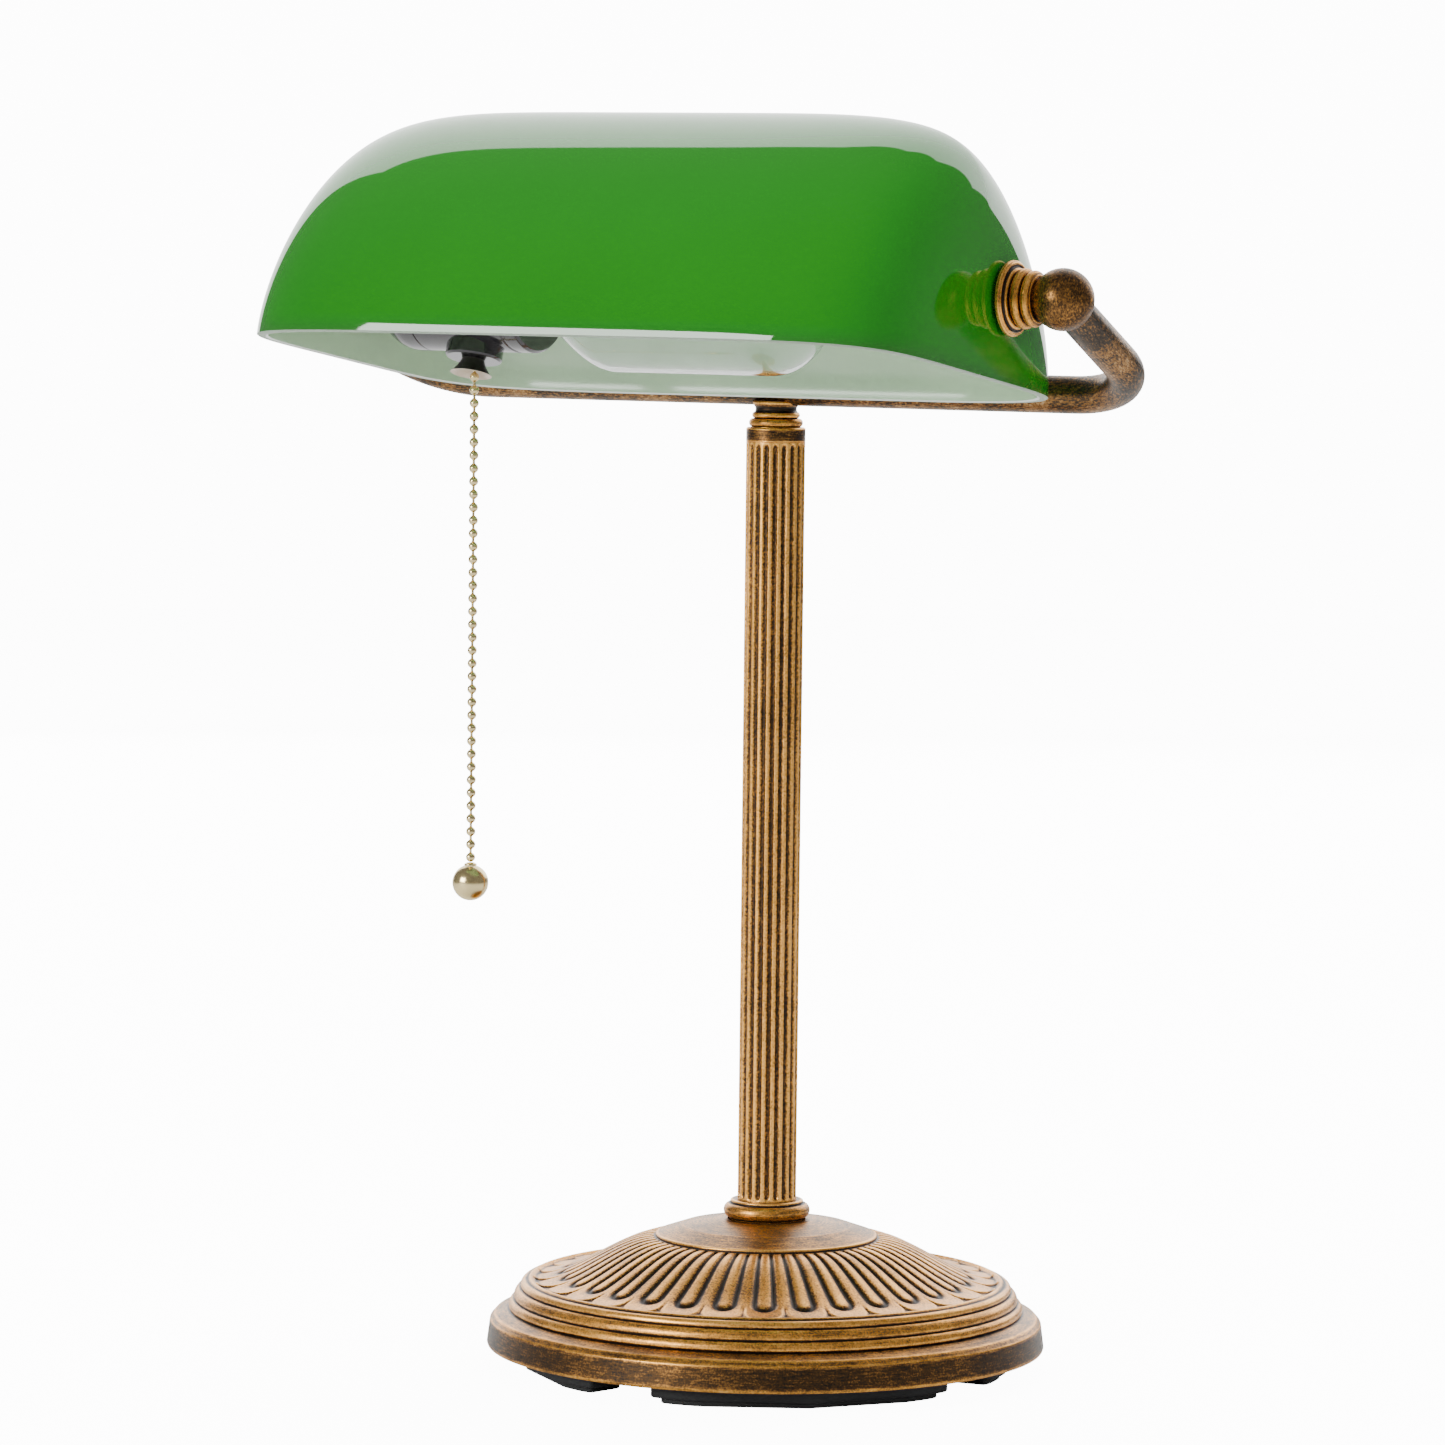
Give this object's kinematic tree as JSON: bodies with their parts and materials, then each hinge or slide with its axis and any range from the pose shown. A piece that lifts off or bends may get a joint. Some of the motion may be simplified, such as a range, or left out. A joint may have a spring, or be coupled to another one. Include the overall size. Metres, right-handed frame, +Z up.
{
  "type": "banker desk lamp",
  "caption": "Desk lamp with a tilting green glass trough shade on a bronze tube yoke, a fluted stem, a petalled round base and a bead pull chain.",
  "frame": {"origin": "on the table, under the axis of the stem", "axes": "+Z up along the stem, X along the shade, -Y towards the front where the shade overhangs the base"},
  "size_m": [0.296, 0.2563, 0.4202],
  "materials": {
    "bronze": "dark antique bronze with rubbed gold edges",
    "cast_bronze": "dark antique bronze wash with rubbed gold relief",
    "brass": "polished pale brass",
    "steel": "zinc plated",
    "iron": "raw sand cast",
    "cover": "black enamel",
    "rubber": "matt black",
    "socket": "polished black phenolic",
    "core": "unglazed",
    "guide": "dark bronze lacquer",
    "clear_glass": "clear",
    "tungsten": "drawn wire",
    "aluminium": "rolled thread",
    "green_glass": "glossy green casing over a white inner layer"
  },
  "bodies": {
    "lamp": {"base_casting": "cast_bronze", "base_ballast": "iron", "base_cover": "cover", "cover_screws": "steel", "foot_front": "rubber", "foot_right": "rubber", "foot_back": "rubber", "foot_left": "rubber", "cord_grommet": "rubber", "foot_collar": "bronze", "pole": "bronze", "tie_rod": "steel", "base_washer": "steel", "base_nut": "steel", "top_band": "bronze", "neck": "bronze", "yoke": "bronze", "ball_left": "bronze", "ball_right": "bronze", "ring_collar_left": "bronze", "ring_collar_right": "bronze", "seat_flange_left": "bronze", "seat_flange_right": "bronze", "nipple_left": "brass", "nipple_right": "brass", "inner_washer_left": "steel", "inner_washer_right": "steel", "lock_nut_left": "steel", "lock_nut_right": "steel", "socket_cap": "socket", "socket_shell": "socket", "socket_core": "core", "screw_shell": "brass", "centre_contact": "brass", "terminal_screws": "brass", "chain_guide": "guide", "arm_pin": "steel", "arm_spring": "steel", "bulb_glass": "clear_glass", "bulb_stem": "clear_glass", "bulb_filament": "tungsten", "bulb_cap": "aluminium", "bulb_insulator": "core", "bulb_contact": "steel"},
    "shade": {"glass_shade": "green_glass", "shade_grommet_left": "rubber", "shade_grommet_right": "rubber"},
    "pull_link": {"pull_link": "brass"},
    "chain": {"pull_chain": "brass", "chain_coupling": "brass", "ball_knob": "brass"},
    "switch_arm": {"switch_arm": "brass"}
  },
  "joints": [
    {"name": "shade_tilt", "type": "hinge", "parent": "lamp", "child": "shade", "pos_m": [0, -0.066, 0.3623], "axis": [-1, 0, 0], "range_deg": [-1.5, 40]},
    {"name": "chain_pull", "type": "slide", "parent": "lamp", "child": "pull_link", "axis": [0, -0.284, -0.9588], "range_m": [0, 0.006], "stiffness_N_per_m": 1300, "springref_m": -0.001},
    {"name": "chain_swing", "type": "hinge", "parent": "pull_link", "child": "chain", "pos_m": [-0.0742, -0.07208, 0.34178], "axis": [-1, 0, 0], "range_deg": [-6, 28]},
    {"name": "switch_turn", "type": "hinge", "parent": "lamp", "child": "switch_arm", "pos_m": [-0.0742, -0.05891, 0.35081], "axis": [1, 0, 0], "range_deg": [0, 33.7]}
  ],
  "couplings": [
    {"joint": "switch_turn", "follows": "chain_pull", "rad_per_m": 96.584}
  ]
}
